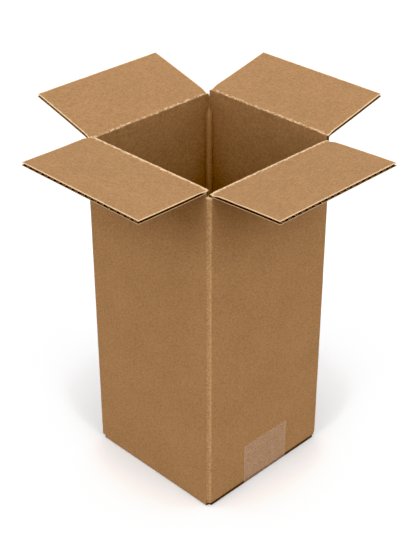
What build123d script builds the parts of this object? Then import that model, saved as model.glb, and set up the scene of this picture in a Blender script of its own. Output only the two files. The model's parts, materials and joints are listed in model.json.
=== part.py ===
from build123d import *
from math import acos, atan2, cos, hypot, radians, sin, tan
import os

os.makedirs("parts", exist_ok=True)

# An open carton of single-wall corrugated board, folded from one blank. The origin is the centre of the
# underside, Z is up, X runs across the walls that carry the outer flaps and Y across the walls that carry
# the inner flaps. Lengths are in millimetres and angles in degrees.

# Outside of the folded box
WIDTH = 127.0  # across the two walls with the outer flaps
DEPTH = 127.0  # across the two walls with the inner flaps
CREASE_HEIGHT = 272.5  # floor to the crease of the inner top flaps

# Board
BOARD = 2.8  # whole thickness
LINER = 0.3  # each flat paper
MEDIUM = 0.25  # wavy paper glued between the two liners
FLUTE_PITCH = 6.5  # from one wave to the next
FLUTE_SLOPE = 48.0  # slope of the wave between crest and trough

# Slots between neighbouring flaps, and the folds down the four corners
SLOT_INSET = 3.2  # corner of the box to the side edge of a flap
SLOT_PAST_CREASE = 1.2  # how far a slot is cut past the crease of the inner flaps
FOLD_RADIUS = 3.0  # outside of a folded corner
CORNER_BEAD = 3.0  # liner bunched in the inside corner, along each wall
BEAD_BULGE = 0.35  # how far the bunched liner swells past a flat bevel
BEAD_GROOVE_WIDTH = 0.8  # pressed line beside the bunched liner
BEAD_GROOVE_DEPTH = 0.4

# Crushed creases of the top flaps
CREASE_DEPTH = 1.0  # outer face to the line about which a flap turns
CREASE_BEAD = 0.35  # radius of the crushed board on that line
CREASE_GAP = 0.3  # clearance between the crushed board and the flap's end
INNER_BEVEL = 40.0  # crushed slope on the inner face
OUTER_BEVEL = 11.0  # crushed slope on the outer face
FLUTE_SETBACK = 0.5  # the flutes open again this far past the crushed slope
LIP_HEIGHT = 8.0  # depth of the wall strip that is modelled with its crease

# Top flaps
FLAP_SEAM = 1.0  # gap between two opposite flaps when they are closed
STACK_GAP = 0.3  # gap between the closed inner and outer flaps
FRONT_LIFT = 2.8  # inner flap at -Y, above level
REAR_LIFT = 16.0  # inner flap at +Y, above level
LEFT_LIFT = 0.3  # outer flap at -X, above level
RIGHT_LIFT = 12.9  # outer flap at +X, above level

# Bottom flaps, folded in and taped
BOTTOM_RADIUS = 3.0  # outside of a bottom fold
BOTTOM_CRUSH = 1.2  # bevel of crushed board inside a bottom fold
BOTTOM_SEAM = 1.0  # gap between two opposite bottom flaps
BOTTOM_GAP = 0.2  # gap between the outer and the inner bottom flaps
POST_LIFT = 1.0  # floor to the lower end of the corner posts
FOLD_HEIGHT = 10.0  # depth of the wall strip that is modelled with its bottom fold

# Glued joint that closes the blank into a tube
TAB_WIDTH = 30.0
TAB_CLEARANCE = 4.0  # from the tab's ends to the modelled wall strips
TAB_TAPER = 9.0  # how much shorter the tab is at its free edge, at each end
CUT_EDGE_SETBACK = 1.0  # cut edge of the last wall, short of the corner

# Packing tape along the bottom seam
TAPE_WIDTH = 48.0
TAPE_THICKNESS = 0.1
TAPE_MARGIN = 0.2  # the dent that the tape sits in is this much wider on each side
TAPE_TURN_UP = 39.0  # floor to the tip of the tape's teeth
TOOTH_PITCH = 1.6
TOOTH_DEPTH = 0.9

# Sizes that follow
HALF_WIDTH = WIDTH / 2
HALF_DEPTH = DEPTH / 2
INNER_SIDE = BOARD - CREASE_DEPTH
OUTER_FLAP_CREASE = CREASE_HEIGHT + BOARD + STACK_GAP
SLOT_FLOOR = CREASE_HEIGHT - SLOT_PAST_CREASE
FLAP_START = CREASE_BEAD + CREASE_GAP
CRUSH_LENGTH = CREASE_DEPTH / tan(radians(OUTER_BEVEL))
INNER_FLAP_WIDTH = WIDTH - 2 * SLOT_INSET
OUTER_FLAP_WIDTH = DEPTH - 2 * SLOT_INSET
INNER_FLAP_LENGTH = HALF_DEPTH - CREASE_DEPTH - FLAP_SEAM / 2
OUTER_FLAP_LENGTH = HALF_WIDTH - CREASE_DEPTH - FLAP_SEAM / 2
INNER_BOTTOM = BOARD + BOTTOM_GAP
OVERCUT = 1.0  # how far a cutting shape stands past what it cuts


def flute_hollow(across, towards_inner):
    """Section of one hollow between the wave and a liner, with its wide side on that liner."""
    slope = radians(FLUTE_SLOPE)
    depth = BOARD - 2 * LINER - MEDIUM
    mid_depth = BOARD / 2 - LINER
    half_base = FLUTE_PITCH / 4 - MEDIUM / (2 * sin(slope)) + mid_depth / tan(slope)
    trough_radius = (half_base - depth / tan(slope)) / tan(slope / 2)
    half_trough = trough_radius * sin(slope)
    flank_depth = depth - trough_radius * (1 - cos(slope))
    side = 1 if towards_inner else -1
    base = INNER_SIDE - LINER if towards_inner else LINER - CREASE_DEPTH
    start = (across - half_base, base)
    end = (across + half_base, base)
    flank_end = (across + half_trough, base - side * flank_depth)
    trough = (across, base - side * depth)
    flank_start = (across - half_trough, base - side * flank_depth)
    outline = [
        Line(start, end),
        Line(end, flank_end),
        ThreePointArc(flank_end, trough, flank_start),
        Line(flank_start, start),
    ]
    return make_face(outline)


def flute_section(width):
    """All hollows across a flap: they alternate between the two liners, half a pitch apart."""
    hollows = Sketch()
    step = FLUTE_PITCH / 2
    for index in range(int(width / step + 0.5) + 1):
        hollows += flute_hollow(index * step - width / 2, index % 2 == 1)
    return hollows


def top_flap(width, length):
    """A flap lying level: X runs from the crease to the free edge, Y along the crease, Z to the inner liner."""
    inner_slope = tan(radians(INNER_BEVEL))
    outer_slope = tan(radians(OUTER_BEVEL))
    side_view = Polygon(
        (FLAP_START, FLAP_START * inner_slope),
        (INNER_SIDE / inner_slope, INNER_SIDE),
        (length, INNER_SIDE),
        (length, -CREASE_DEPTH),
        (CRUSH_LENGTH, -CREASE_DEPTH),
        (FLAP_START, -FLAP_START * outer_slope),
        align=None,
    )
    board = extrude(Plane.XZ * side_view, width / 2, both=True)
    flute_start = CRUSH_LENGTH + FLUTE_SETBACK
    flutes = extrude(Plane.YZ.offset(flute_start) * flute_section(width), length - flute_start + OVERCUT)
    return board - flutes


def placed_flap(width, length, crease, outward, lift):
    """The flap turned up by its lift about its crease, on the wall that faces outward."""
    turn = radians(lift)
    along = Vector(outward) * cos(turn) + Vector(0, 0, sin(turn))
    inner_face = Vector(outward) * -sin(turn) + Vector(0, 0, cos(turn))
    return Plane(origin=crease, x_dir=along, z_dir=inner_face) * top_flap(width, length)


def corner_bead(side_x, side_y):
    """Liner bunched in an inside corner, and the two pressed lines beside it."""
    corner_x = side_x * (HALF_WIDTH - BOARD)
    corner_y = side_y * (HALF_DEPTH - BOARD)
    middle = CORNER_BEAD / 2 + BEAD_BULGE
    outer_line = CORNER_BEAD + BEAD_GROOVE_WIDTH
    centre_line = CORNER_BEAD + BEAD_GROOVE_WIDTH / 2

    def at(along_x, along_y):
        return (corner_x - side_x * along_x, corner_y - side_y * along_y)

    bead = make_face(
        [
            Line(at(0, 0), at(CORNER_BEAD, 0)),
            ThreePointArc(at(CORNER_BEAD, 0), at(middle, middle), at(0, CORNER_BEAD)),
            Line(at(0, CORNER_BEAD), at(0, 0)),
        ]
    )
    grooves = Polygon(at(CORNER_BEAD, 0), at(centre_line, -BEAD_GROOVE_DEPTH), at(outer_line, 0), align=None)
    grooves += Polygon(at(0, CORNER_BEAD), at(-BEAD_GROOVE_DEPTH, centre_line), at(0, outer_line), align=None)
    return bead, grooves


def wall_section():
    """The four walls from above: three folded corners, and the glued joint at the corner (-X, +Y)."""
    folded = [(1, 1), (1, -1), (-1, -1)]
    outside = Rectangle(WIDTH, DEPTH)
    for side_x, side_y in folded:
        corner = Vector(side_x * HALF_WIDTH, side_y * HALF_DEPTH)
        outside = fillet(outside.vertices().sort_by_distance(corner)[0], FOLD_RADIUS)
    inside = Rectangle(WIDTH - 2 * BOARD, DEPTH - 2 * BOARD)
    for side_x, side_y in folded:
        bead, grooves = corner_bead(side_x, side_y)
        inside = inside - bead + grooves
    return outside - inside - joint_notch()


def joint_round():
    """What is missing at the glued joint because the first wall's fold is round."""
    seam_x = BOARD - HALF_WIDTH
    round_x = seam_x + FOLD_RADIUS
    round_y = HALF_DEPTH - FOLD_RADIUS
    middle = FOLD_RADIUS * (1 - cos(radians(45)))
    return make_face(
        [
            Line((seam_x, round_y), (seam_x, HALF_DEPTH)),
            Line((seam_x, HALF_DEPTH), (round_x, HALF_DEPTH)),
            ThreePointArc((round_x, HALF_DEPTH), (seam_x + middle, HALF_DEPTH - middle), (seam_x, round_y)),
        ]
    )


def joint_notch():
    """All that is missing at the glued joint: the last wall also stops short, with its flutes open."""
    seam_x = BOARD - HALF_WIDTH
    cut_edge = HALF_DEPTH - CUT_EDGE_SETBACK
    edge_hollow = FLUTE_PITCH / 2 - LINER
    notch = Polygon(
        (-HALF_WIDTH - OVERCUT, cut_edge),
        (seam_x, cut_edge),
        (seam_x, HALF_DEPTH + OVERCUT),
        (-HALF_WIDTH - OVERCUT, HALF_DEPTH + OVERCUT),
        align=None,
    )
    notch += joint_round()
    notch += Polygon(
        (LINER - HALF_WIDTH, cut_edge + OVERCUT),
        (LINER - HALF_WIDTH, cut_edge - edge_hollow),
        (seam_x - LINER, cut_edge - edge_hollow),
        (seam_x - LINER, cut_edge + OVERCUT),
        align=None,
    )
    return notch


def glue_tab():
    """The tab on the first wall, glued inside the last wall, narrower towards its ends."""
    fold_y = HALF_DEPTH - BOARD
    free_y = fold_y - TAB_WIDTH
    low = FOLD_HEIGHT + TAB_CLEARANCE
    high = CREASE_HEIGHT - LIP_HEIGHT - TAB_CLEARANCE
    face = Polygon(
        (fold_y, low),
        (fold_y, high),
        (free_y, high - TAB_TAPER),
        (free_y, low + TAB_TAPER),
        align=None,
    )
    return extrude(Plane.YZ.offset(BOARD - HALF_WIDTH) * face, BOARD)


def top_lip(width, crease_height):
    """Upper strip of a wall, ending in its crushed crease. X is outward from the crease."""
    inner_slope = tan(radians(INNER_BEVEL))
    foot = CREASE_HEIGHT - LIP_HEIGHT
    section = Polygon(
        (0, crease_height),
        (CREASE_DEPTH, crease_height - CRUSH_LENGTH),
        (CREASE_DEPTH, foot),
        (-INNER_SIDE, foot),
        (-INNER_SIDE, crease_height - INNER_SIDE / inner_slope),
        align=None,
    )
    section += Pos(0, crease_height) * Circle(CREASE_BEAD)
    return extrude(Plane.XZ * section, width / 2, both=True)


def bottom_fold(half_size, width, level, dent):
    """Lower strip of a wall, its fold and the bottom flap. X is outward from the middle of the box."""
    inner_face = half_size - BOARD
    top = level + BOARD
    turn_x = half_size - BOTTOM_RADIUS
    turn_z = level + BOTTOM_RADIUS
    middle_x = turn_x + BOTTOM_RADIUS * cos(radians(45))
    middle_z = turn_z - BOTTOM_RADIUS * sin(radians(45))
    seam = BOTTOM_SEAM / 2
    dent_end = TAPE_WIDTH / 2 + TAPE_MARGIN
    section = make_face(
        [
            Polyline((turn_x, level), (seam, level), (seam, top), (inner_face - BOTTOM_CRUSH, top)),
            Line((inner_face - BOTTOM_CRUSH, top), (inner_face, top + BOTTOM_CRUSH)),
            Polyline((inner_face, top + BOTTOM_CRUSH), (inner_face, FOLD_HEIGHT), (half_size, FOLD_HEIGHT)),
            Line((half_size, FOLD_HEIGHT), (half_size, turn_z)),
            ThreePointArc((half_size, turn_z), (middle_x, middle_z), (turn_x, level)),
        ]
    )
    if dent:
        section -= Pos(dent_end / 2, level) * Rectangle(dent_end, 2 * dent)
    return extrude(Plane.XZ * section, width / 2, both=True)


def outer_flap_edge_flutes():
    """The half hollows along the two side edges of each outer bottom flap, open where the board is cut."""
    hollows = flute_hollow(-OUTER_FLAP_WIDTH / 2, False) + flute_hollow(OUTER_FLAP_WIDTH / 2, False)
    length = WIDTH - 2 * (BOTTOM_RADIUS + BOARD)
    return Pos(0, 0, CREASE_DEPTH) * extrude(Plane.YZ * hollows, length / 2, both=True)


def strip_cutters(low, high):
    """Blocks that clear the middle of each wall between two heights, where the creased strips go in."""
    height = high - low
    middle = (high + low) / 2
    reach = BOARD + CORNER_BEAD
    blocks = Part()
    for side in (1, -1):
        at_y = side * (HALF_DEPTH - reach / 2 + OVERCUT / 2)
        at_x = side * (HALF_WIDTH - reach / 2 + OVERCUT / 2)
        blocks += Pos(0, at_y, middle) * Box(INNER_FLAP_WIDTH, reach + OVERCUT, height)
        blocks += Pos(at_x, 0, middle) * Box(reach + OVERCUT, OUTER_FLAP_WIDTH, height)
    return blocks


def box_body():
    """Walls, corner folds, glue tab and the four bottom flaps: one folded sheet."""
    body = Pos(0, 0, POST_LIFT) * extrude(wall_section(), SLOT_FLOOR - POST_LIFT)
    body -= strip_cutters(CREASE_HEIGHT - LIP_HEIGHT, CREASE_HEIGHT + OVERCUT)
    body -= strip_cutters(0, FOLD_HEIGHT)
    body += glue_tab()
    for turn in (0, 180):
        body += Rot(0, 0, turn) * Pos(HALF_WIDTH - CREASE_DEPTH, 0, 0) * top_lip(OUTER_FLAP_WIDTH, OUTER_FLAP_CREASE)
        body += Rot(0, 0, turn) * bottom_fold(HALF_WIDTH, OUTER_FLAP_WIDTH, 0, TAPE_THICKNESS)
    for turn in (90, 270):
        body += Rot(0, 0, turn) * Pos(HALF_DEPTH - CREASE_DEPTH, 0, 0) * top_lip(INNER_FLAP_WIDTH, CREASE_HEIGHT)
        body += Rot(0, 0, turn) * bottom_fold(HALF_DEPTH, INNER_FLAP_WIDTH, INNER_BOTTOM, 0)
    body -= extrude(joint_round(), CREASE_HEIGHT + OVERCUT)
    return body - outer_flap_edge_flutes()


def tape_half():
    """Side view of the tape from the middle of the box to +Y: under the flaps, round the fold, up the wall."""
    fold_y = HALF_DEPTH - BOTTOM_RADIUS
    fold_z = INNER_BOTTOM + BOTTOM_RADIUS
    edge_y = OUTER_FLAP_WIDTH / 2
    to_y = fold_y - edge_y
    to_z = fold_z - TAPE_THICKNESS
    bend = atan2(to_z, -to_y) - acos(BOTTOM_RADIUS / hypot(to_y, to_z))

    def round_fold(angle, radius):
        return (fold_y + radius * cos(angle), fold_z - radius * sin(angle))

    outer_radius = BOTTOM_RADIUS + TAPE_THICKNESS
    outer_edge_y = fold_y + (outer_radius - fold_z * sin(bend)) / cos(bend)
    wall_y = HALF_DEPTH + TAPE_THICKNESS
    return make_face(
        [
            Polyline((0, TAPE_THICKNESS), (0, 0), (outer_edge_y, 0), round_fold(bend, outer_radius)),
            ThreePointArc(
                round_fold(bend, outer_radius), round_fold(bend / 2, outer_radius), (wall_y, fold_z)
            ),
            Polyline((wall_y, fold_z), (wall_y, TAPE_TURN_UP), (HALF_DEPTH, TAPE_TURN_UP), (HALF_DEPTH, fold_z)),
            ThreePointArc(
                (HALF_DEPTH, fold_z), round_fold(bend / 2, BOTTOM_RADIUS), round_fold(bend, BOTTOM_RADIUS)
            ),
            Polyline(round_fold(bend, BOTTOM_RADIUS), (edge_y, TAPE_THICKNESS), (0, TAPE_THICKNESS)),
        ]
    )


def tape_teeth():
    """The zigzag that the dispenser's blade leaves across the tape."""
    count = round(TAPE_WIDTH / TOOTH_PITCH)
    pitch = TAPE_WIDTH / count
    points = [(-TAPE_WIDTH / 2 - OVERCUT, TAPE_TURN_UP + OVERCUT)]
    points.append((-TAPE_WIDTH / 2 - OVERCUT, TAPE_TURN_UP - TOOTH_DEPTH))
    for index in range(count):
        left = index * pitch - TAPE_WIDTH / 2
        points.append((left, TAPE_TURN_UP - TOOTH_DEPTH))
        points.append((left + pitch / 2, TAPE_TURN_UP))
    points.append((TAPE_WIDTH / 2, TAPE_TURN_UP - TOOTH_DEPTH))
    points.append((TAPE_WIDTH / 2 + OVERCUT, TAPE_TURN_UP - TOOTH_DEPTH))
    points.append((TAPE_WIDTH / 2 + OVERCUT, TAPE_TURN_UP + OVERCUT))
    return extrude(Plane.XZ * Polygon(*points, align=None), DEPTH, both=True)


def bottom_tape():
    """One strip of clear tape along the bottom seam, turned up both walls with inner flaps."""
    half = extrude(Plane.YZ * tape_half(), TAPE_WIDTH / 2, both=True)
    return half + Rot(0, 0, 180) * half - tape_teeth()


def write(name, shape):
    export_step(shape, f"parts/{name}.step")


front_crease = (0, CREASE_DEPTH - HALF_DEPTH, CREASE_HEIGHT)
rear_crease = (0, HALF_DEPTH - CREASE_DEPTH, CREASE_HEIGHT)
left_crease = (CREASE_DEPTH - HALF_WIDTH, 0, OUTER_FLAP_CREASE)
right_crease = (HALF_WIDTH - CREASE_DEPTH, 0, OUTER_FLAP_CREASE)

write("box_body", box_body())
write("bottom_tape", bottom_tape())
write("inner_flap_front", placed_flap(INNER_FLAP_WIDTH, INNER_FLAP_LENGTH, front_crease, (0, -1, 0), FRONT_LIFT))
write("inner_flap_rear", placed_flap(INNER_FLAP_WIDTH, INNER_FLAP_LENGTH, rear_crease, (0, 1, 0), REAR_LIFT))
write("outer_flap_left", placed_flap(OUTER_FLAP_WIDTH, OUTER_FLAP_LENGTH, left_crease, (-1, 0, 0), LEFT_LIFT))
write("outer_flap_right", placed_flap(OUTER_FLAP_WIDTH, OUTER_FLAP_LENGTH, right_crease, (1, 0, 0), RIGHT_LIFT))
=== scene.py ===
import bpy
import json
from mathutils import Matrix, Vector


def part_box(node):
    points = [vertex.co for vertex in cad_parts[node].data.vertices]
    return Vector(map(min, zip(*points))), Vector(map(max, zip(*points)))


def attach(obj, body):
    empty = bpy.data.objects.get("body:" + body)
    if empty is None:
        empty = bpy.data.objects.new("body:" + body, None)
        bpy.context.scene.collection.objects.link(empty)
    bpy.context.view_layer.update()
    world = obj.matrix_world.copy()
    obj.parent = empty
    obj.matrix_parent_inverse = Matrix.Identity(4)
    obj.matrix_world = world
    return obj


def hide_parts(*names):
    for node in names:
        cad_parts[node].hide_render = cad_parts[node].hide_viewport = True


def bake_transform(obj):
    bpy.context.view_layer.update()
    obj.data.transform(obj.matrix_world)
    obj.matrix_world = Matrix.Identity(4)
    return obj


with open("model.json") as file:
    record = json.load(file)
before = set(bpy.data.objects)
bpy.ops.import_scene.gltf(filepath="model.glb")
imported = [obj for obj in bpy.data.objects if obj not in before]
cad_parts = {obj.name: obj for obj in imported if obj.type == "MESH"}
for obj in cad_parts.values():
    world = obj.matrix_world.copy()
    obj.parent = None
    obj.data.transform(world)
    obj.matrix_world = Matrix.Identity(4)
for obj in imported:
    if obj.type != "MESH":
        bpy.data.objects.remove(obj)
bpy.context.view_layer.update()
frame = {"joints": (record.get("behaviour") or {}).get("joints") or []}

import json
import math

import bpy
from mathutils import Vector, noise

# The board
# One sheet of single-wall board: two flat kraft papers with a wavy paper glued between them. It is laid
# out here in four-sided cells, each corner of which is a point on the face and one on the back.
BOARD = 0.0028  # whole thickness
SHARP = math.radians(38)  # an edge that turns further shows as an edge
SAME_PLACE = 2e-7  # points closer than this are one point of a face
SHEET_ASIDE, BACK_ASIDE = 0.31, 0.17  # keep the clouds of one paper from showing on the next
FACE, BACK, CUT, WAVE = 0, 1, 2, 3  # which paper shows


class Sheet:
    """A sheet of board or paper with a thickness, closed along its cut edges."""

    def __init__(self):
        self.corners = []
        self.known = {}
        self.cells = []

    def corner(self, face, back, blank, wear=(0.0, 0.0)):
        """blank is the place on the flat sheet, along the box and up it. wear is that of face and back."""
        key = tuple(round(c * 1e6) for c in (*face, *back))
        if key not in self.known:
            self.known[key] = len(self.corners)
            self.corners.append((Vector(face), Vector(back), blank, wear))
        return self.known[key]

    def cell(self, a, b, c, d, papers):
        """Four corners, anticlockwise as the face is seen."""
        ring = [n for i, n in enumerate((a, b, c, d)) if n != (a, b, c, d)[i - 1]]
        if len(ring) > 2:
            self.cells.append((ring, papers))

    def grid(self, rows, papers=(FACE, BACK)):
        """Cells between rows of corners. As the face is seen, a row runs to the left, the next above it."""
        for low, high in zip(rows, rows[1:]):
            for i in range(len(low) - 1):
                self.cell(low[i + 1], low[i], high[i], high[i + 1], papers)

    def faces(self):
        """Polygons and their papers: both sides of every cell, and the cut edges."""
        polygons, papers, edges = [], [], {}
        for ring, (face, back) in self.cells:
            polygons.append([2 * n for n in ring])
            papers.append(face)
            polygons.append([2 * n + 1 for n in reversed(ring)])
            papers.append(back)
            for i, n in enumerate(ring):
                edges.setdefault(frozenset((ring[i - 1], n)), []).append((ring[i - 1], n))
        for sides in edges.values():
            if len(sides) == 1:
                start, end = sides[0]
                polygons.append([2 * end, 2 * start, 2 * start + 1, 2 * end + 1])
                papers.append(CUT)
        return polygons, papers


def build_piece(name, sheets, materials):
    """One object from its sheets. Each point keeps its place on the flat blank and its wear, which at folds and
    creases also holds painted highlight.
    """
    points, polygons, papers, blanks, wears = [], [], [], [], []
    for number, sheet in enumerate(sheets):
        first = len(points)
        aside = number * SHEET_ASIDE
        for face, back, (along, up), (wear_face, wear_back) in sheet.corners:
            points += [face, back]
            blanks += [along, up, aside, along, up, aside + BACK_ASIDE]
            wears += [wear_face, wear_back]
        for ring, paper in zip(*sheet.faces()):
            ring = [first + n for n in ring]
            ring = [n for i, n in enumerate(ring) if (points[n] - points[ring[i - 1]]).length > SAME_PLACE]
            if len(ring) > 2:
                polygons.append(ring)
                papers.append(paper)
    mesh = bpy.data.meshes.new(name)
    mesh.from_pydata(points, [], polygons)
    for material in materials:
        mesh.materials.append(material)
    mesh.polygons.foreach_set("material_index", papers)
    mesh.attributes.new("blank", "FLOAT_VECTOR", "POINT").data.foreach_set("vector", blanks)
    mesh.attributes.new("wear", "FLOAT", "POINT").data.foreach_set("value", wears)
    mesh.validate()
    mesh.shade_smooth()
    mesh.set_sharp_from_angle(angle=SHARP)
    piece = bpy.data.objects.new(name, mesh)
    bpy.context.scene.collection.objects.link(piece)
    return piece


# Kraft paper
# Brown paper of long unbleached fibres, which lie along the box. It is cloudy, has fine flecks, shows the
# flutes beneath it as a faint washboard, in relief and in painted shade, and goes pale and furry where it is
# folded or rubbed; at the folds and creases that paleness is partly a painted highlight.
FLUTE_PITCH = 0.0065  # from one wave to the next
MM = 1000.0  # the papers' patterns are measured in millimetres
BUMP_REACH = 0.0001  # height of the paper's fibres


def add_node(tree, kind, **values):
    """A node with its settings, and its input sockets set or linked by name or number."""
    node = tree.nodes.new(kind)
    sockets = values.pop("sockets", {})
    for name, value in values.items():
        setattr(node, name, value)
    for name, value in sockets.items():
        if isinstance(value, bpy.types.NodeSocket):
            tree.links.new(value, node.inputs[name])
        else:
            node.inputs[name].default_value = value
    return node


def new_group(name, inputs, outputs):
    """A shader node group with its input and output sockets."""
    group = bpy.data.node_groups.new(name, "ShaderNodeTree")
    for in_out, sockets in (("INPUT", inputs), ("OUTPUT", outputs)):
        for label, kind in sockets.items():
            group.interface.new_socket(label, in_out=in_out, socket_type=kind)
    return group, group.nodes.new("NodeGroupInput"), group.nodes.new("NodeGroupOutput")


def math_node(tree, operation, a, b, clamp=False):
    sockets = {0: a, 1: b}
    return add_node(tree, "ShaderNodeMath", operation=operation, use_clamp=clamp, sockets=sockets).outputs[0]


def vector_node(tree, operation, sockets):
    return add_node(tree, "ShaderNodeVectorMath", operation=operation, sockets=sockets).outputs[0]


def noise_node(tree, vector, scale, detail=2.0, roughness=0.5, distortion=0.0):
    sockets = {"Vector": vector, "Scale": scale, "Detail": detail}
    sockets |= {"Roughness": roughness, "Distortion": distortion}
    return add_node(tree, "ShaderNodeTexNoise", sockets=sockets).outputs["Fac"]


def range_node(tree, value, from_min, from_max, to_min=0.0, to_max=1.0, smooth=False):
    kind = "SMOOTHSTEP" if smooth else "LINEAR"
    sockets = {"Value": value, "From Min": from_min, "From Max": from_max}
    sockets |= {"To Min": to_min, "To Max": to_max}
    return add_node(tree, "ShaderNodeMapRange", interpolation_type=kind, sockets=sockets).outputs[0]


def mix_colours(tree, share, first, second):
    """Sockets 6 and 7 of the node are its two colours, and output 2 is the mixed one."""
    return add_node(tree, "ShaderNodeMix", data_type="RGBA", sockets={0: share, 6: first, 7: second}).outputs[2]


def place_in_mm(tree):
    """The place on the flat sheet."""
    place = add_node(tree, "ShaderNodeAttribute", attribute_name="blank")
    return vector_node(tree, "SCALE", {0: place.outputs["Vector"], "Scale": MM})


def make_kraft_group():
    """Colour, roughness and relief of kraft paper from a place on the sheet in millimetres."""
    group, enter, leave = new_group(
        "kraft paper",
        {
            "Place": "NodeSocketVector",
            "Wear": "NodeSocketFloat",
            "Pale": "NodeSocketColor",
            "Deep": "NodeSocketColor",
            "Worn": "NodeSocketColor",
            "Washboard": "NodeSocketFloat",
        },
        {"Color": "NodeSocketColor", "Roughness": "NodeSocketFloat", "Height": "NodeSocketFloat"},
    )

    def plus(a, b, clamp=False):
        return math_node(group, "ADD", a, b, clamp)

    def times(a, b):
        return math_node(group, "MULTIPLY", a, b)

    def uneven(value, strength):
        """Noise as a change up and down from the middle."""
        return times(math_node(group, "SUBTRACT", value, 0.5), strength)

    place = enter.outputs["Place"]
    along_fibres = vector_node(group, "MULTIPLY", {0: place, 1: (0.45, 1.2, 1.0)})
    aside = vector_node(group, "ADD", {0: place, 1: (41.0, 17.0, 5.0)})
    # scale per millimetre, octaves, roughness and swirl of each kind of unevenness
    fibre = noise_node(group, along_fibres, 0.85, 3.0, 0.6, 0.5)
    pulp = noise_node(group, aside, 0.62, 2.0, 0.6, 0.4)
    cloud = noise_node(group, place, 0.03, 3.0, 0.6)
    mottle = noise_node(group, place, 0.16, 3.0, 0.6)
    grain = noise_node(group, place, 2.6, 2.0, 0.6)
    patches = range_node(group, noise_node(group, aside, 0.035), 0.42, 0.62, 0.25, 1.0, smooth=True)
    flecks = range_node(group, noise_node(group, aside, 0.62, 1.0, 0.6, 1.2), 0.60, 0.70)
    hairs = range_node(group, noise_node(group, place, 0.72, 1.0, 0.6, 1.6), 0.61, 0.71)
    one_wave = math.pi / 10 / (FLUTE_PITCH * MM)  # the node draws a band every pi / 10
    sockets = {"Vector": place, "Scale": one_wave, "Distortion": 0.5, "Detail": 1.0, "Detail Scale": 0.1}
    bands = {"wave_type": "BANDS", "bands_direction": "X"}
    wave = add_node(group, "ShaderNodeTexWave", **bands, sockets=sockets).outputs["Fac"]
    ripple = uneven(wave, enter.outputs["Washboard"])

    # from 0 for the deep tone to 1 for the pale one
    # the washboard is painted into the tone too, faint light and dark bands as its shade, besides its relief
    # below
    tone = plus(times(ripple, 0.03), 0.5)
    for value, strength in ((fibre, 2.6), (cloud, 0.7), (mottle, 0.6), (pulp, 2.2), (grain, 0.8)):
        tone = plus(tone, uneven(value, strength))
    tone = plus(tone, times(times(flecks, patches), -0.8))
    tone = plus(tone, times(times(hairs, patches), 0.8), clamp=True)
    paper = mix_colours(group, tone, enter.outputs["Deep"], enter.outputs["Pale"])
    ragged = plus(plus(enter.outputs["Wear"], uneven(pulp, 1.0)), uneven(fibre, 1.0))
    worn = range_node(group, ragged, 0.25, 0.85, 0.0, 1.0, smooth=True)
    colour = mix_colours(group, worn, paper, enter.outputs["Worn"])
    rough = plus(range_node(group, mottle, 0.3, 0.7, 0.74, 0.86), times(worn, 0.1), clamp=True)
    relief = times(fibre, 0.6)
    for value, strength in ((grain, 0.25), (ripple, 0.25), (worn, 0.3)):
        relief = plus(relief, times(value, strength))
    group.links.new(colour, leave.inputs["Color"])
    group.links.new(rough, leave.inputs["Roughness"])
    group.links.new(relief, leave.inputs["Height"])
    return group


kraft_group = make_kraft_group()


def kraft_material(name, pale, deep, worn, washboard=1.0, bump=0.35):
    """A paper between its pale and its deep tone, with the tone that it takes on where it is rubbed, which at
    the folds and creases is also a painted highlight.
    """
    material = bpy.data.materials.new(name)
    material.use_nodes = True
    tree = material.node_tree
    shader = tree.nodes["Principled BSDF"]
    wear = add_node(tree, "ShaderNodeAttribute", attribute_name="wear")
    paper = add_node(tree, "ShaderNodeGroup", node_tree=kraft_group)
    tree.links.new(place_in_mm(tree), paper.inputs["Place"])
    tree.links.new(wear.outputs["Fac"], paper.inputs["Wear"])
    for label, colour in (("Pale", pale), ("Deep", deep), ("Worn", worn)):
        paper.inputs[label].default_value = (*colour, 1.0)
    paper.inputs["Washboard"].default_value = washboard
    sockets = {"Strength": bump, "Distance": BUMP_REACH, "Height": paper.outputs["Height"]}
    relief = add_node(tree, "ShaderNodeBump", sockets=sockets)
    tree.links.new(paper.outputs["Color"], shader.inputs["Base Color"])
    tree.links.new(paper.outputs["Roughness"], shader.inputs["Roughness"])
    tree.links.new(relief.outputs["Normal"], shader.inputs["Normal"])
    shader.inputs["Specular IOR Level"].default_value = 0.25
    return material


outer_liner = kraft_material(
    "outer liner", pale=(0.488, 0.270, 0.122), deep=(0.360, 0.197, 0.087), worn=(0.56, 0.345, 0.172)
)
inner_liner = kraft_material(
    "inner liner", pale=(0.397, 0.226, 0.104), deep=(0.296, 0.167, 0.076), worn=(0.70, 0.50, 0.31)
)
cut_edge = kraft_material(
    "cut edge",
    pale=(0.64, 0.46, 0.28),
    deep=(0.50, 0.34, 0.19),
    worn=(0.68, 0.50, 0.32),
    washboard=0.0,
    bump=0.6,
)
# the wavy paper's own darker tone, made darker still as painted shade for the hollows between the flutes at the
# cut edges
fluted_paper_and_shade = kraft_material(
    "fluted paper",
    pale=(0.24, 0.125, 0.052),
    deep=(0.15, 0.075, 0.030),
    worn=(0.34, 0.20, 0.10),
    washboard=0.0,
    bump=0.4,
)
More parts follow.
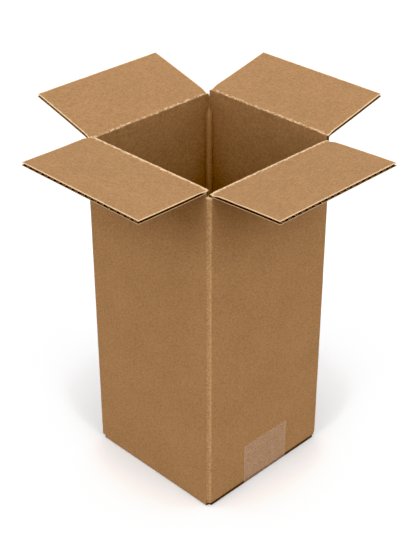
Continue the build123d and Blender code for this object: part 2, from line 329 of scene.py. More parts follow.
# painted shade: the walls' cut edges are coloured near black as the shade in their open flutes and in the gap
# at each wall's foot; their pale worn tone is the torn paper's own
open_edge_painted_shade = kraft_material(
    "open flutes at a cut edge",
    pale=(0.14, 0.078, 0.036),
    deep=(0.08, 0.043, 0.020),
    worn=(0.66, 0.48, 0.30),
    washboard=0.0,
    bump=0.6,
)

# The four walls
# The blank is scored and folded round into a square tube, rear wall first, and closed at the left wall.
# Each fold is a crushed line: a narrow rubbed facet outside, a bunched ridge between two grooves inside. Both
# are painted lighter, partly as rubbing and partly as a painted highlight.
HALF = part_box("box_body")[1].x  # centre to the outside of a wall
WALL_WIDTH = 2 * HALF
SLOT_EDGE = 0.0603  # middle of a wall to the side edge of its flaps
FOLD = 0.0026  # reach of a folded corner along each wall
FACET = 0.0005  # how far the folded corner stands out from its chord
FOLD_STEPS = 6
CRUMPLE, WAVER = 0.00016, 0.0001  # how uneven the folded corner is, round it and up it
CORNER_CUT = 0.0009  # how far it is pulled in at its foot
LOWEST = 0.0029  # foot of the corner posts
FIRST_ROW, LAST_ROW = 0.012, 0.008  # floor up to, and crease down to, the walls' even rows
WALL_STEPS, PANEL_STEPS = 104, 28  # rows up a wall and columns across it
SEAM_OUT = 0.0023  # crease down to where the wall's outer paper starts
SEAM_UP = 0.0004  # crease up to where its inner paper ends
NECK_IN = 0.0016  # crease down to the last row that the walls share with the corner posts, inside
SLOT_DROP = 0.0043  # outer flaps' crease down to the floor of the slots
BOW, DIMPLE = 0.00035, 0.00006  # how far a wall bows out, and how uneven it is
STIFF_EDGE = 0.058  # middle of a wall out to where its folds keep it flat
STIFF_END = 0.07  # its foot and its mouth keep it flatter within this
RIDGE, RIDGE_SWELL = 0.003, 0.0022  # reach of the bunched ridge along a wall, and its swelling
FOOT_BEND = 0.0012  # outer radius of the fold at a wall's foot
FOOT_TOP = 0.003  # height of that fold
FOOT_IN = 0.004  # its height and reach on the inside
FOOT_STEPS = 6
LAYER = 0.003  # the bottom flaps of the front and rear walls lie this far above the floor
EAR = 0.0626  # middle of a side wall to the side edges of its bottom flap, past the fold
TAPE_DENT = 0.0001  # the tape lies in a dent of this depth
DENT_EDGE = 0.0242  # middle of the box to the side edges of the dent
SAG = 0.00015  # how uneven the bottom flaps are inside
TORN = 0.9  # wear of a cut edge
RUB_AT, RUB_WIDTH, BUNCH_WIDTH = 0.0013, 0.0007, 0.0005  # where a folded corner is rubbed and bunched, and where its painted highlight lies
wall_names = ["rear", "right", "front", "left"]
outward = {
    "rear": Vector((0, 1, 0)),
    "right": Vector((1, 0, 0)),
    "front": Vector((0, -1, 0)),
    "left": Vector((-1, 0, 0)),
}
onward = {name: outward[wall_names[(i + 1) % 4]] for i, name in enumerate(wall_names)}
upright = Vector((0, 0, 1))
blank_start = {name: WALL_WIDTH * (i + 0.5) for i, name in enumerate(wall_names)}
joints = {joint["child"].removesuffix("_flap"): joint for joint in frame["joints"]}
crease = {name: joints[name]["pos_m"][2] for name in wall_names}
slot_floor = crease["left"] - SLOT_DROP


def ease(value, low, high):
    """0 below low, 1 above high, and smooth between them."""
    share = min(1.0, max(0.0, (value - low) / (high - low)))
    return share * share * (3 - 2 * share)


def mix(a, b, share):
    return a + (b - a) * share


def wander(x, y, size, seed):
    """Smooth irregularity between about -1 and 1 that changes over the given size."""
    return noise.noise(Vector((x / size, y / size, seed)))


def bow(name, across, z):
    """How far a wall stands out of its plane: it bows between its folds, less at the foot and mouth."""
    side = math.cos(min(1.0, abs(across) / STIFF_EDGE) * math.pi / 2)
    tall = ease(z, FIRST_ROW, STIFF_END) * (1 - ease(z, crease[name] - STIFF_END, crease[name] - LAST_ROW))
    seed = 3.7 * wall_names.index(name)
    swell = BOW * (1 + wander(across, z, 0.07, seed)) + DIMPLE * wander(across, z, 0.012, seed + 9)
    return side * tall * swell


def bead_share(z):
    """The bunched ridge in the inside corners fades out near the foot and near the slots."""
    return ease(z, 0.009, 0.02) * (1 - ease(z, crease["front"] - 0.02, crease["front"] - 0.009))


def wall_point(name, across, z, depth):
    return outward[name] * (HALF - depth) + onward[name] * across + upright * z


def ridge_point(share):
    """Distances of the bunched ridge from the inside corner, along the two walls."""
    swell = 2 * share * (1 - share) * RIDGE_SWELL
    return RIDGE * (1 - share) ** 2 + swell, RIDGE * share**2 + swell


def wall_column(name, across, ridge_across, ridge_depth):
    """A column of a wall: a function that gives its corner at two heights, and its place along the wall."""

    def at(z_out, z_in):
        bead = bead_share(z_in)
        lumps = 1 + 0.25 * wander(z_in, across, 0.009, 1.3) if ridge_depth else 1.0
        face = wall_point(name, across, z_out, -bow(name, across, z_out))
        inside = BOARD - bow(name, across, z_in) + ridge_depth * bead * lumps
        return face, wall_point(name, mix(across, ridge_across, bead), z_in, inside)

    return at, across


def panel_columns(name, start_side=True, end_side=True):
    """The columns of a wall, and on either side the one at its slots."""
    plain_half = 0.0545
    middle = [mix(-plain_half, plain_half, i / PANEL_STEPS) for i in range(1, PANEL_STEPS)]
    # place along the wall, the inside point's place where the corner is bunched, and how deep it is pressed
    groove_and_ridge = [
        (plain_half, plain_half, 0.0),
        (0.0567, 0.0567, 0.0),
        (0.0575, 0.0573, -0.0004),
        (0.0583, 0.0577, 0.0),
        (0.0593, 0.0579, 0.0006),
    ]
    near, far = ridge_point(0.22)
    at_slot = [(SLOT_EDGE, HALF - BOARD - near, far)]
    start, end = (groove_and_ridge + at_slot * side for side in (start_side, end_side))
    columns = [wall_column(name, -across, -ridge, depth) for across, ridge, depth in reversed(start)]
    columns += [wall_column(name, across, across, 0.0) for across in middle]
    return columns + [wall_column(name, across, ridge, depth) for across, ridge, depth in end]


def fold_columns(index):
    """Columns round the folded corner from one wall to the next, between their slots."""
    side_a, side_b = outward[wall_names[index]], outward[wall_names[index + 1]]
    chord_start = side_a * HALF + side_b * (HALF - FOLD)
    chord_end = side_a * (HALF - FOLD) + side_b * HALF
    diagonal = (side_a + side_b).normalized()
    inside = (side_a + side_b) * (HALF - BOARD)
    plain = 0.0004  # fullness of the inside corner where nothing is bunched
    columns = []
    for step in range(FOLD_STEPS + 1):
        share = step / FOLD_STEPS

        def at(z_out, z_in, share=share):
            arch = FACET * (1 - (2 * share - 1) ** 4)
            crumple = math.sin(share * math.pi) * CRUMPLE * wander(z_out, share, 0.006, 5.0 + index)
            crumple += WAVER * wander(z_out, share * 0.01, 0.02, 8.0 + index)
            blunt = CORNER_CUT * (1 - ease(z_out, LOWEST, LAYER + FOOT_TOP))
            face = chord_start.lerp(chord_end, share) + diagonal * (arch + crumple - blunt)
            near, far = ridge_point(mix(0.28, 0.72, share))
            bead = bead_share(z_in)
            lumps = 1 + 0.10 * wander(z_in, share * 0.004, 0.007, 2.0 + index)
            near = mix(plain * (1 - share), near * lumps, bead)
            far = mix(plain * share, far * lumps, bead)
            return face + upright * z_out, inside - side_a * far - side_b * near + upright * z_in

        columns.append((at, (share - 0.5) * 2 * FOLD))
    return columns


walls = Sheet()
last_row = crease["front"] - LAST_ROW
wall_heights = [mix(FIRST_ROW, last_row, i / WALL_STEPS) for i in range(WALL_STEPS + 1)]
wall_heights += [crease["front"] - 0.0055, crease["front"] - 0.0035]
# heights of the outer and the inner point of each row
foot_rows = [(LOWEST, LOWEST), (FOOT_TOP, FOOT_IN), (LAYER + FOOT_TOP, LAYER + FOOT_IN)]
neck_rows = [(crease["front"] - SEAM_OUT, crease["front"] - NECK_IN), (slot_floor, slot_floor)]
post_rows = foot_rows + [(z, z) for z in wall_heights] + neck_rows


def wall_rows(columns, rows, origin, wear):
    """Rows of corners of the walls, from the foot up. wear gives that of face and back at a height."""
    made = []
    for z_out, z_in in rows:
        made.append([])
        for at, across in columns:
            blank = (origin + across, z_out)
            made[-1].append(walls.corner(*at(z_out, z_in), blank, wear(across, z_out)))
    return made


def slot_cut(z):
    """Pale torn paper at the floor of the slots."""
    return ease(z, slot_floor - 0.0004, slot_floor) * TORN


def wall_wear(name):
    """A wall is rubbed beside its folds, at its foot and at the mouth."""

    def wear(across, z):
        edge = ease(abs(across), 0.0588, 0.0612) * 0.15
        foot = (1 - ease(z, 0.002, 0.008)) * 0.25
        mouth = ease(z, crease[name] - 0.0055, crease[name] - SEAM_OUT) * 0.08
        cut = slot_cut(z) * (abs(across) > SLOT_EDGE - 0.0001)
        return max(edge, foot, cut), max(cut, ease(abs(across), 0.0560, 0.0590) * 0.1, mouth)

    return wear


def fold_wear_and_highlight(index):
    """A folded corner is painted pale outside in patches, partly as rubbing and partly as a painted highlight,
    with a rubbed line on one side of the fold; the bunched ridge inside, on the other side, is painted lighter
    as a highlight, less of it deep in the box.
    """

    def wear(across, z):
        scuffs = 0.75 + 0.6 * wander(z, across, 0.004, 25.0 + index)
        rubbed = math.exp(-(((across + RUB_AT) / RUB_WIDTH) ** 2)) * scuffs
        bunched = math.exp(-(((across - RUB_AT) / BUNCH_WIDTH) ** 2))
        patchy = wander(z, across, 0.03, 21.0 + index) + wander(z, across, 0.003, 23.0 + index)
        # painted highlight: the bunched ridge inside is painted lighter, and less of it deep in the box, where
        # it is in shade
        inside = (0.08 + 0.35 * bunched) * mix(0.4, 1.0, ease(z, 0.1, 0.25))
        # outside, the whole fold is painted paler, partly as rubbing and partly as a painted highlight
        return max(slot_cut(z), 0.44 + 0.12 * patchy + 0.45 * rubbed), max(slot_cut(z), inside)

    return wear


def bottom_flap(name, columns, origin):
    """The fold at the foot of a wall and its bottom flap, which lies flat under the box."""
    inner_pair = name in ("front", "rear")
    level = LAYER if inner_pair else 0.0
    rows = []
    for step in range(FOOT_STEPS + 1):
        turn = math.pi / 2 * max(0, step - 1) / (FOOT_STEPS - 1)
        depth = FOOT_BEND * (1 - math.cos(turn))
        z_out = level + (FOOT_BEND * (1 - math.sin(turn)) if step else FOOT_TOP)
        back_depth = mix(BOARD, FOOT_IN, step / FOOT_STEPS)
        z_in = level + mix(FOOT_IN, BOARD, step / FOOT_STEPS)
        rows.append([])
        for at, across in columns:
            face = wall_point(name, across, z_out, depth)
            back = wall_point(name, across, z_in, back_depth)
            if step == 0:
                face, back = at(z_out, z_in)
            rows[-1].append(walls.corner(face, back, (origin + across, z_out - depth), (0.3, 0.3)))
    reaches = [0.0606, 0.0598, 0.055, 0.048, 0.040, 0.032, 0.0243, 0.0241, 0.018, 0.012, 0.006, 0.001, 0.0005]
    for reach in reaches:
        under = level + (TAPE_DENT if not inner_pair and reach < DENT_EDGE else 0.0)
        worn = 0.6 if reach == reaches[-1] else 0.0
        rows.append([])
        for number, (_, across) in enumerate(columns):
            if not inner_pair and reach < SLOT_EDGE - 0.0003 and number in (0, len(columns) - 1):
                across = math.copysign(EAR, across)
            sag = SAG * wander(across, reach, 0.04, 2.2) * inner_pair
            place = outward[name] * reach + onward[name] * across
            face, back = place + upright * under, place + upright * (level + BOARD + sag)
            rows[-1].append(walls.corner(face, back, (origin + across, reach - HALF), (worn, worn)))
    walls.grid(rows[::-1])


def top_lip(name, columns, origin):
    """The narrowed top of a wall, hidden under the papers that run over the crease."""
    z = crease[name]
    # heights outside and inside, and how far each side is pressed towards the other
    levels = [
        (z - SEAM_OUT, z - NECK_IN, 0.0, 0.0),
        (z - SEAM_OUT + 0.0001, z + SEAM_UP, 0.13, 0.0),
        (z - SEAM_OUT + 0.0003, z + SEAM_UP + 0.0001, 0.16, 0.13),
        (z - 0.0007, z + SEAM_UP + 0.0002, 0.33, 0.60),
    ]
    if name in ("left", "right"):
        levels = [(slot_floor, slot_floor, 0.0, 0.0)] + levels
    rows = []
    for z_out, z_in, from_face, from_back in levels:
        rows.append([])
        for at, across in columns:
            face, back = at(z_out, z_in)
            outer = face.lerp(Vector((back.x, back.y, face.z)), from_face)
            inner = back.lerp(Vector((face.x, face.y, back.z)), from_back)
            rows[-1].append(walls.corner(outer, inner, (origin + across, z_out)))
    walls.grid(rows)


# the first wall starts at the fold of the glue tab, inside the left wall
joint_x = -(HALF - BOARD)
fold_end = joint_x + FOLD


def joint_fold_columns():
    columns = []
    for step in range(FOLD_STEPS + 1):
        turn = math.pi / 2 * step / FOLD_STEPS

        def at(z_out, z_in, turn=turn):
            ripple = 0.0001 * math.sin(2 * turn) * wander(z_out, turn, 0.007, 31.0)
            reach = FOLD - 0.0002 * math.sin(2 * turn) + ripple
            inner = 0.001  # inner radius
            face = Vector((fold_end - reach * math.cos(turn), HALF - FOLD + reach * math.sin(turn), z_out))
            back_x = joint_x + BOARD + inner * (1 - math.cos(turn))
            return face, Vector((back_x, HALF - BOARD - inner * (1 - math.sin(turn)), z_in))

        columns.append((at, joint_x + FOLD * step / FOLD_STEPS))
    return columns


def plain_column(name, across):
    def at(z_out, z_in):
        return wall_point(name, across, z_out, 0.0), wall_point(name, across, z_in, BOARD)

    return at, across


CUT_EDGE = HALF - 0.001  # the last wall's cut edge, short of the corner
FLUTE_WALL = CUT_EDGE - 0.0029  # the open flute at that edge is this deep
panels = {name: panel_columns(name) for name in ("right", "front")}
# the joint's fold takes the place of the rear wall's first columns, and the left wall ends at its flute
rear_wall = [c for c in panel_columns("rear", start_side=False) if c[1] > fold_end + 0.0012]
panels["rear"] = joint_fold_columns() + rear_wall
left_wall = [c for c in panel_columns("left", end_side=False) if c[1] < FLUTE_WALL - 0.0005]
panels["left"] = left_wall + [plain_column("left", FLUTE_WALL)]
for index, name in enumerate(wall_names):
    columns = panels[name]
    origin = blank_start[name]
    rows = post_rows[2:-1] if name in ("front", "rear") else post_rows[1:]
    walls.grid(wall_rows(columns, rows, origin, wall_wear(name)))
    top_lip(name, columns, origin)
    foot_columns = [c for c in columns if c[1] > fold_end - 0.0001] if name == "rear" else columns
    bottom_flap(name, foot_columns, origin)
    if index < 3:
        following = wall_names[index + 1]
        before = wall_rows([columns[-1]], post_rows, origin, wall_wear(name))
        after = wall_rows([panels[following][0]], post_rows, blank_start[following], wall_wear(following))
        middle = wall_rows(fold_columns(index), post_rows, WALL_WIDTH * (index + 1), fold_wear_and_highlight(index))
        # inside, the bunched paper takes the paler outer paper, partly as rubbing and partly as a painted
        # highlight on the ridge
        walls.grid([b + m + a for b, m, a in zip(before, middle, after)], (FACE, FACE))

# The glue tab
# The narrow end of the blank, folded in at the rear-left corner and glued flat inside the left wall. Its
# ends are cut on a slant, and the last wall's cut edge shows its open flute beside the fold.
PAPER = 0.0003  # each flat paper
TAB_LENGTH = 0.030
TAB_SLANT = 0.009  # how much shorter each end is at the free edge
TAB_STEPS = 8
TAB_FOOT, TAB_HEAD = 0.014, 0.012  # floor up to, and crease down to, the tab's ends
TAB_GLUE = 0.00002
tab_rows = [z for z in wall_heights if TAB_FOOT < z < crease["front"] - TAB_HEAD]
tab_grid = []
fold_at = panels["rear"][0][0]
for row, z in enumerate(tab_rows):
    line = [walls.corner(*fold_at(z, z), (joint_x, z), wall_wear("rear")(joint_x, z))]
    for step in range(1, TAB_STEPS + 1):
        away = TAB_LENGTH * step / TAB_STEPS
        slant = TAB_SLANT * step / TAB_STEPS
        height = mix(tab_rows[0] + slant, tab_rows[-1] - slant, row / (len(tab_rows) - 1))
        face = Vector((joint_x + TAB_GLUE, HALF - FOLD - away, height))
        pressed = 0.0004 * ease(away, 0.02, TAB_LENGTH)
        back = Vector((joint_x + BOARD - pressed, HALF - FOLD - 0.0008 - away * 0.97, height))
        worn = 0.25 if step == TAB_STEPS else 0.0
        line.append(walls.corner(face, back, (joint_x - away, height), (0.0, worn)))
    tab_grid.append(line[::-1])
walls.grid(tab_grid)

# the two papers that stand past the last wall's flutes, as depths and the papers seen
for depth_face, depth_back, seen in ((0.0, PAPER, (FACE, WAVE)), (BOARD - PAPER, BOARD, (WAVE, BACK))):
    strips = []
    for z, _ in post_rows:
        strips.append([])
        for across in (FLUTE_WALL, mix(FLUTE_WALL, CUT_EDGE, 0.6), CUT_EDGE):
            at_edge = across == CUT_EDGE
            flare = 0.0001 * wander(z, across, 0.008, 12.0 + depth_face) * at_edge
            face = wall_point("left", across, z, depth_face - flare)
            back = wall_point("left", across, z, depth_back - flare)
            worn = 0.6 if at_edge else 0.1
            strips[-1].append(walls.corner(face, back, (blank_start["left"] + across, z), (worn, worn)))
    walls.grid(strips, seen)

carton_walls = build_piece("carton_walls", [walls], [outer_liner, inner_liner, open_edge_painted_shade, fluted_paper_and_shade])
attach(carton_walls, "box")
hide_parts("box_body")

# The top flaps
# Each wall ends in a crushed crease and a flap. The two papers run on over the crease, the inner one
# stretched, furry and painted pale, partly as rubbing and partly as a painted highlight, the outer one pinched,
# and the free edge shows the flutes between them.
MEDIUM = 0.00025  # thickness of the wavy paper
CREASE_DEPTH = 0.001  # outer face to the crease line
INNER_SIDE = BOARD - CREASE_DEPTH
FLAP_LENGTH = 0.0618
CREASE_STEPS = 12
CREASE_REACH = -0.0003  # crease out to where the flap's inner paper runs flat
CREASE_ARC = 0.0022  # length of the inner paper on its way over the crease
RIM_PAPER = 0.00045  # bruised paper at a cut edge
RIM = 0.0012  # width of the pinched and rubbed rim
FIRST_FLUTE = 0.12  # where the flutes start along the blank, in flutes
GLUE = 0.00003  # between the crushed medium and the papers
HOLLOW, RUFFLE = 0.00035, 0.00006  # how far a flap is bent, and how uneven it is
PINCH = 0.00022  # how far a cut edge is pressed in
FRAY, RAGGED = 0.00005, 0.00008  # how uneven a flap's side edges and its free edge are cut
CRUSH = 0.0011  # how far the crease is pressed down beside the slots
SWELL_IN, SWELL_OUT = 0.00105, 0.0013  # how full the papers are on their way over the crease
LUMPS, CREASES = 0.00022, 0.00014  # how uneven they are there, in coarse and in fine
CREST_RUB_AND_HIGHLIGHT = {"rear": 0.42, "right": 0.46, "front": 0.68, "left": 0.68}  # how pale each crease is painted: rubbing, and on the front and left flaps, whose creases face away from the lights, a painted highlight as well


def curve(start, start_pull, end_pull, end, share):
    rest = 1 - share
    return (
        start * rest**3
        + start_pull * 3 * rest**2 * share
        + end_pull * 3 * rest * share**2
        + end * share**3
    )


def make_flap(name):
    wall_out, along = outward[name], onward[name]
    lift = math.radians(180 - joints[name]["range_deg"][1])
    hinge = Vector(joints[name]["pos_m"])
    flap_out = wall_out * math.cos(lift) + upright * math.sin(lift)
    flap_up = -wall_out * math.sin(lift) + upright * math.cos(lift)
    seed = 11.0 * wall_names.index(name) + 2.0
    inner_pair = name in ("front", "rear")
    warp_side = 1 if inner_pair else -1
    origin = blank_start[name]
    rims = [SLOT_EDGE, SLOT_EDGE - 0.0005, SLOT_EDGE - RIM]
    middle = [mix(-SLOT_EDGE, SLOT_EDGE, i / 60) for i in range(1, 60)]
    crosses = [-rim for rim in rims] + middle + rims[::-1]

    def warp(across, reach):
        """A flap dries a little hollow or humped."""
        hump = math.sin(math.pi * min(1.0, reach / FLAP_LENGTH))
        wide = 0.65 + 0.35 * math.cos(across / SLOT_EDGE * math.pi / 2)
        return warp_side * HOLLOW * hump * wide + RUFFLE * hump * wander(across, reach, 0.014, seed)

    def pinch(across, reach):
        """The blades that cut the blank press its edges together."""
        patchy = 0.75 + 0.5 * wander(reach, across, 0.01, seed + 4)
        side = ease(abs(across), SLOT_EDGE - 0.0018, SLOT_EDGE) * patchy
        free = ease(reach, FLAP_LENGTH - RIM, FLAP_LENGTH) * 0.25
        return PINCH * max(side, free)

    def taper(across, reach):
        """Where the crease meets a slot the board is crushed thin, so that the flap's corner is a point."""
        return CRUSH * ease(abs(across), SLOT_EDGE - 0.005, SLOT_EDGE) * (1 - ease(reach, 0.0, 0.007))

    def flap_point(across, reach, height):
        return hinge + along * across + flap_out * reach + flap_up * (height + warp(across, reach))

    def behind_fold(across):
        """The rear wall curves away under its flap's end beside the glued joint."""
        if name != "rear" or across > fold_end:
            return 0.0
        return FOLD - math.sqrt(max(0.0, FOLD**2 - (fold_end - across) ** 2))

    def folded(across, share, inner):
        """A point of a paper on its way over the crease, and the way that the paper faces there."""
        if inner:
            start = hinge - wall_out * INNER_SIDE + upright * SEAM_UP
            end = hinge + flap_out * CREASE_REACH + flap_up * (INNER_SIDE - taper(across, CREASE_REACH))
            pull = SWELL_IN
        else:
            start = hinge + wall_out * (CREASE_DEPTH - behind_fold(across)) - upright * SEAM_OUT
            end = hinge + flap_out * SEAM_OUT - flap_up * CREASE_DEPTH
            pull = SWELL_OUT
        start, end = start + along * across, end + along * across
        path = (start, start + upright * pull, end - flap_out * pull, end)
        ahead, behind = curve(*path, min(1.0, share + 0.02)), curve(*path, max(0.0, share - 0.02))
        way = (ahead - behind).normalized()
        facing = along.cross(way) if inner else way.cross(along)
        crumple = LUMPS * wander(across, share, 0.004, seed + 6)
        crumple += CREASES * wander(across, share, 0.0014, seed + 7)
        return curve(*path, share) + facing * crumple * math.sin(math.pi * share), facing

    def paper_over_crease(sheet, inner):
        """Rows of corners from the wall to the flap, round the crease."""
        below, above = (0.0, CREASE_ARC) if inner else (-SEAM_OUT, SEAM_OUT)
        rows = []
        for step in range(CREASE_STEPS):
            share = step / CREASE_STEPS
            up = crease[name] + mix(below, above, share)
            # the crease's inner paper is painted pale: rubbing, with a painted highlight added on the front and
            # left flaps
            rubbed = mix(0.2, CREST_RUB_AND_HIGHLIGHT[name], ease(share, 0.0, 0.5)) if inner else 0.25
            rows.append([])
            for across in crosses:
                point, facing = folded(across, share, inner)
                worn = rubbed + 0.4 * wander(across, share * 0.003, 0.0024, seed + 9)
                rows[-1].append(sheet.corner(point, point - facing * PAPER, (origin + across, up), (worn, 0.0)))
        return rows

    def paper_on_flap(sheet, inner):
        """Rows of corners from the crease to the free edge."""
        first = CREASE_REACH if inner else SEAM_OUT
        slack = CREASE_ARC - CREASE_REACH if inner else 0.0
        reaches = [first, first + 0.001, first + 0.0022]
        reaches += [mix(reaches[-1], FLAP_LENGTH - RIM, i / 24) for i in range(1, 25)]
        reaches += [FLAP_LENGTH - 0.0005, FLAP_LENGTH]
        rows = []
        for reach in reaches:
            rim_out = ease(reach, FLAP_LENGTH - 0.0006, FLAP_LENGTH)
            rub_out = ease(reach, FLAP_LENGTH - RIM, FLAP_LENGTH - 0.0004)
            rows.append([])
            for across in crosses:
                side = abs(across)
                paper = mix(PAPER, RIM_PAPER, max(ease(side, SLOT_EDGE - 0.0006, SLOT_EDGE), rim_out))
                if inner:
                    top = INNER_SIDE - pinch(across, reach) - taper(across, reach)
                    under = top - paper
                else:
                    top = pinch(across, reach) - CREASE_DEPTH
                    under = top + paper
                fuzz = FRAY * wander(across, reach, 0.0011, seed + 5) * (side == SLOT_EDGE)
                uneven = RAGGED * wander(across, reach, 0.003, seed + 8) * (reach == FLAP_LENGTH)
                place = (across - math.copysign(abs(fuzz), across), reach - abs(uneven))
                faded = first + 0.0026 + 0.0022 * wander(across, 0.0, 0.004, seed + 10)
                # beside the crease the flap is painted pale the same way: rubbing, with a painted highlight on
                # the front and left flaps
                patchy = CREST_RUB_AND_HIGHLIGHT[name] + 0.08 + 0.5 * wander(across, reach, 0.0034, seed + 12)
                near_fold = (1 - ease(reach, first, faded)) * (patchy if inner else 0.2)
                rubbed = max(ease(side, SLOT_EDGE - RIM, SLOT_EDGE - 0.0004), rub_out) * TORN
                blank = (origin + across, crease[name] + reach + slack)
                wear = (max(rubbed, near_fold), 0.1)
                rows[-1].append(sheet.corner(flap_point(*place, top), flap_point(*place, under), blank, wear))
        return rows

    def paper_sheet(inner):
        """One of the two flat papers, over the crease and out to the free edge."""
        sheet = Sheet()
        rows = paper_over_crease(sheet, inner) + paper_on_flap(sheet, inner)
        if inner:
            sheet.grid([row[::-1] for row in rows], (BACK, WAVE))
        else:
            sheet.grid(rows, (FACE, WAVE))
        return sheet

    def crushed_medium():
        """The medium pressed flat between the papers at the crease."""
        sheet = Sheet()
        rows = []
        for step in range(CREASE_STEPS + 1):
            share = step / CREASE_STEPS
            up = crease[name] + share * 0.005
            rows.append([])
            for across in crosses[1:-1]:
                top, top_facing = folded(across, share, True)
                under, under_facing = folded(across, share, False)
                face = under - under_facing * (PAPER + GLUE)
                back = top - top_facing * (PAPER + GLUE)
                rows[-1].append(sheet.corner(face, back, (origin + across, up), (0.3, 0.3)))
        sheet.grid(rows, (WAVE, WAVE))
        return sheet

    def wavy_medium():
        """The wave between the papers: it runs out at the free edge and is pressed down at the crease."""
        sheet = Sheet()
        middle_height = (INNER_SIDE - CREASE_DEPTH) / 2
        swing = (BOARD - 2 * PAPER - MEDIUM) / 2
        half_wave = SLOT_EDGE - 0.0007
        segments = int(round(2 * half_wave / FLUTE_PITCH * 12))
        reaches = [0.0030, 0.0045, 0.0062, 0.0085, 0.025, 0.045, FLAP_LENGTH - 0.003, FLAP_LENGTH - 0.0007]
        rows = []
        for reach in reaches:
            opened = ease(reach, 0.0026, 0.0080)
            rows.append([])
            for i in range(segments + 1):
                across = mix(-half_wave, half_wave, i / segments)
                phase = 2 * math.pi * ((origin + across) / FLUTE_PITCH + FIRST_FLUTE)
                slope = swing * 2 * math.pi / FLUTE_PITCH * math.cos(phase)
                lean = Vector((-slope, 1.0)).normalized() * MEDIUM / 2
                room = swing - pinch(across, reach)
                height = room * math.sin(phase) * opened + 0.00005 * wander(across, reach, 0.002, seed + 3)
                height = middle_height + max(-room, min(room, height))
                face = flap_point(across - lean.x * opened, reach, height - lean.y)
                back = flap_point(across + lean.x * opened, reach, height + lean.y)
                blank = (origin + across, crease[name] + reach)
                rows[-1].append(sheet.corner(face, back, blank, (0.25, 0.25)))
        sheet.grid(rows, (WAVE, WAVE))
        return sheet

    sheets = [paper_sheet(False), paper_sheet(True), wavy_medium(), crushed_medium()]
    flap = build_piece(f"{name}_flap_board", sheets, [outer_liner, inner_liner, cut_edge, fluted_paper_and_shade])
    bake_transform(flap)
    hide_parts(f"{'inner' if inner_pair else 'outer'}_flap_{name}")


for name in wall_names:
    make_flap(name)

# The bottom tape
# One strip of clear polypropylene tape, 48 mm wide, holds the bottom flaps together. It runs under the
# box along the seam and up both end walls, and its ends keep the teeth of the dispenser's blade.
TAPE_HALF = 0.024
TAPE_THICK = 0.0001
TAPE_TOP = 0.039
TOOTH = 0.0009
TEETH = 60  # points across the strip, every second one a tooth
TEAR = 0.0011  # how far a torn end strays
BUBBLE = 0.00007  # how far the tape lifts off the board in places
ADHESIVE = 0.000004  # between the tape and the board
TAPE_STEPS = 17  # up a wall


def tape_path():
    """Places on a wall, over the gap at its foot and under the box, with the tape's turn there."""
    places = [(HALF, TAPE_TOP, 0.0), (HALF, TAPE_TOP - 0.0006, 0.0)]
    for i in range(1, TAPE_STEPS + 1):
        places.append((HALF, mix(TAPE_TOP - 0.0015, 0.0036, i / TAPE_STEPS), 0.0))
    # over the gap and onto the underside
    places += [(HALF - 0.00004, 0.0029, 0.12), (HALF - 0.0003, 0.0017, 0.24), (HALF - 0.0006, 0.0006, 0.35)]
    places += [(EAR + 0.00012, 0.00025, 0.8), (EAR - 0.0002, TAPE_THICK, math.pi / 2)]
    for y in (0.059, 0.050, 0.040, 0.030, 0.020, 0.010, 0.0):
        places.append((y, TAPE_THICK, math.pi / 2))
    return places


def make_tape():
    sheet = Sheet()
    half_path = tape_path()
    whole = [(-1, *place) for place in half_path] + [(1, *place) for place in reversed(half_path[:-1])]
    rows = []
    travelled = 0.0
    before = (whole[0][0] * whole[0][1], whole[0][2])
    for side, y, z, turn in whole:
        travelled += math.hypot(side * y - before[0], z - before[1])
        before = (side * y, z)
        on_wall = turn == 0
        facing = Vector((0, side * math.cos(turn), -math.sin(turn)))
        rows.append([])
        for i in range(TEETH + 1):
            x = mix(-TAPE_HALF, TAPE_HALF, i / TEETH)
            height = z
            if z > TAPE_TOP - 0.001:
                height -= TOOTH * (i % 2 == 0) * (0.8 + 0.3 * wander(x, 0.0, 0.002, 3.0 + side))
                height -= TEAR * (0.5 + 0.5 * wander(x, 0.0, 0.005, 6.0 + side))
            lifted = bow("rear" if side > 0 else "front", side * x, height) * on_wall
            bubble = BUBBLE * max(0.0, wander(x, height, 0.006, 14.0 + side) - 0.25) * on_wall
            inner = Vector((x, side * y, height)) + facing * (lifted + bubble + ADHESIVE)
            outer = inner + facing * (TAPE_THICK - ADHESIVE)
            worn = 0.8 if z == TAPE_TOP or i in (0, TEETH) else 0.0
            rows[-1].append(sheet.corner(outer, inner, (x, travelled), (worn, worn)))
    sheet.grid(rows)
    return sheet


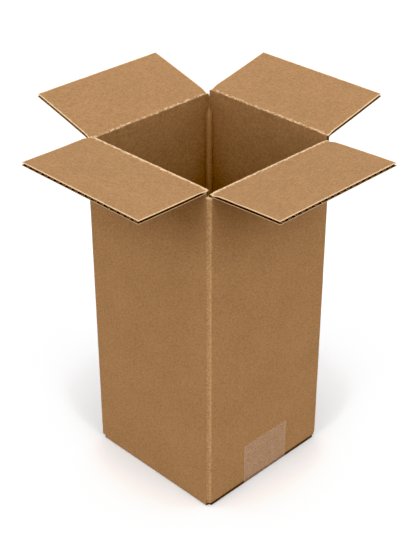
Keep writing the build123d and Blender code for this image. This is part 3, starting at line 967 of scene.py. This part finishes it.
def make_tape_material():
    material = bpy.data.materials.new("clear tape")
    material.use_nodes = True
    tree = material.node_tree
    shader = tree.nodes["Principled BSDF"]
    wear = add_node(tree, "ShaderNodeAttribute", attribute_name="wear")
    place = place_in_mm(tree)
    along_strip = vector_node(tree, "MULTIPLY", {0: place, 1: (1.0, 0.06, 1.0)})
    streaks = noise_node(tree, along_strip, 0.35, 3.0, 0.6)
    blotches = noise_node(tree, place, 0.16, 3.0, 0.6, 0.8)
    milky = range_node(tree, blotches, 0.42, 0.68, 0.0, 0.10, smooth=True)
    # haze: the film's own milky streaks and blotches, and a pale layer that also stands in as a painted sheen
    # of the film; the edges and torn ends are paler still
    haze_and_sheen = math_node(tree, "ADD", range_node(tree, streaks, 0.3, 0.7, 0.14, 0.22), milky)
    haze_and_sheen = math_node(tree, "ADD", haze_and_sheen, math_node(tree, "MULTIPLY", wear.outputs["Fac"], 0.45), clamp=True)
    tint = mix_colours(tree, blotches, (0.80, 0.55, 0.36, 1.0), (0.87, 0.62, 0.44, 1.0))
    rough = range_node(tree, blotches, 0.35, 0.65, 0.22, 0.36)
    sockets = {"Strength": 0.25, "Distance": BUMP_REACH, "Height": blotches}
    relief = add_node(tree, "ShaderNodeBump", sockets=sockets)
    tree.links.new(tint, shader.inputs["Base Color"])
    tree.links.new(haze_and_sheen, shader.inputs["Alpha"])
    tree.links.new(rough, shader.inputs["Roughness"])
    tree.links.new(relief.outputs["Normal"], shader.inputs["Normal"])
    shader.inputs["Specular IOR Level"].default_value = 0.5
    return material


# the same film on its face, its back and its cut edges
clear_tape = make_tape_material()
tape = build_piece("bottom_tape_strip", [make_tape()], [clear_tape, clear_tape, clear_tape])
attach(tape, "box")
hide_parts("bottom_tape")

# The studio
# A pale floor that runs out of the picture, a bright room, and four wide soft lights: overhead, over the
# front corner, and before each near wall. The camera looks down on the front corner of the box.
FLOOR_REACH = 40.0
CAMERA_PLACE = (-0.5824, -0.5812, 0.6581)
CAMERA_AIM = (0.0041, 0.0053, 0.1519)
CAMERA_LENS = 80.43
floor_mesh = bpy.data.meshes.new("floor")
floor_corners = [(FLOOR_REACH * x, FLOOR_REACH * y, 0) for x, y in ((-1, -1), (1, -1), (1, 1), (-1, 1))]
floor_mesh.from_pydata(floor_corners, [], [(0, 1, 2, 3)])
floor = bpy.data.objects.new("floor", floor_mesh)
bpy.context.scene.collection.objects.link(floor)
floor_material = bpy.data.materials.new("pale floor")
floor_material.use_nodes = True
floor_tree = floor_material.node_tree
floor_shader = floor_tree.nodes["Principled BSDF"]
# the floor throws less light up at the box than it shows to the camera
seen = add_node(floor_tree, "ShaderNodeLightPath").outputs["Is Camera Ray"]
floor_tone = mix_colours(floor_tree, seen, (0.30, 0.30, 0.30, 1.0), (0.845, 0.858, 0.870, 1.0))
floor_tree.links.new(floor_tone, floor_shader.inputs["Base Color"])
floor_shader.inputs["Roughness"].default_value = 0.9
floor_shader.inputs["Specular IOR Level"].default_value = 0.1
floor_mesh.materials.append(floor_material)

room = bpy.data.worlds.new("room")
bpy.context.scene.world = room
room.use_nodes = True
room.node_tree.nodes["Background"].inputs["Color"].default_value = (1, 1, 1, 1)
room.node_tree.nodes["Background"].inputs["Strength"].default_value = 0.85

# name, strength, degrees above the floor, degrees round from behind the camera, spread in degrees
soft_lights = [
    ("overhead light", 0.60, 90, 0, 40),
    ("front light", 0.30, 55, 0, 50),
    ("left light", 0.72, 38, -45, 30),
    ("right light", 0.72, 38, 45, 30),
]
for light_name, strength, above, round_by, spread in soft_lights:
    light = bpy.data.lights.new(light_name, "SUN")
    light.energy = strength
    light.angle = math.radians(spread)
    lamp = bpy.data.objects.new(light_name, light)
    tilt, heading = math.radians(above), math.radians(45 + round_by)
    level = math.cos(tilt)
    shines = Vector((math.cos(heading) * level, math.sin(heading) * level, -math.sin(tilt)))
    lamp.rotation_euler = shines.to_track_quat("-Z", "Y").to_euler()
    bpy.context.scene.collection.objects.link(lamp)

# the palest tones of the floor are lifted to plain white, and the darkest ones of the box to black
picture = bpy.context.scene.view_settings
picture.view_transform = "Standard"
picture.use_curve_mapping = True
picture.curve_mapping.black_level = (0.03, 0.03, 0.026)
for tone, shown in ((0.78, 0.78), (0.86, 0.868), (0.92, 0.97)):
    picture.curve_mapping.curves[3].points.new(tone, shown)
picture.curve_mapping.update()
camera_data = bpy.data.cameras.new("camera")
camera_data.lens = CAMERA_LENS
camera = bpy.data.objects.new("camera", camera_data)
camera.location = CAMERA_PLACE
looks = Vector(CAMERA_AIM) - camera.location
camera.rotation_euler = looks.to_track_quat("-Z", "Y").to_euler()
bpy.context.scene.collection.objects.link(camera)
bpy.context.scene.camera = camera
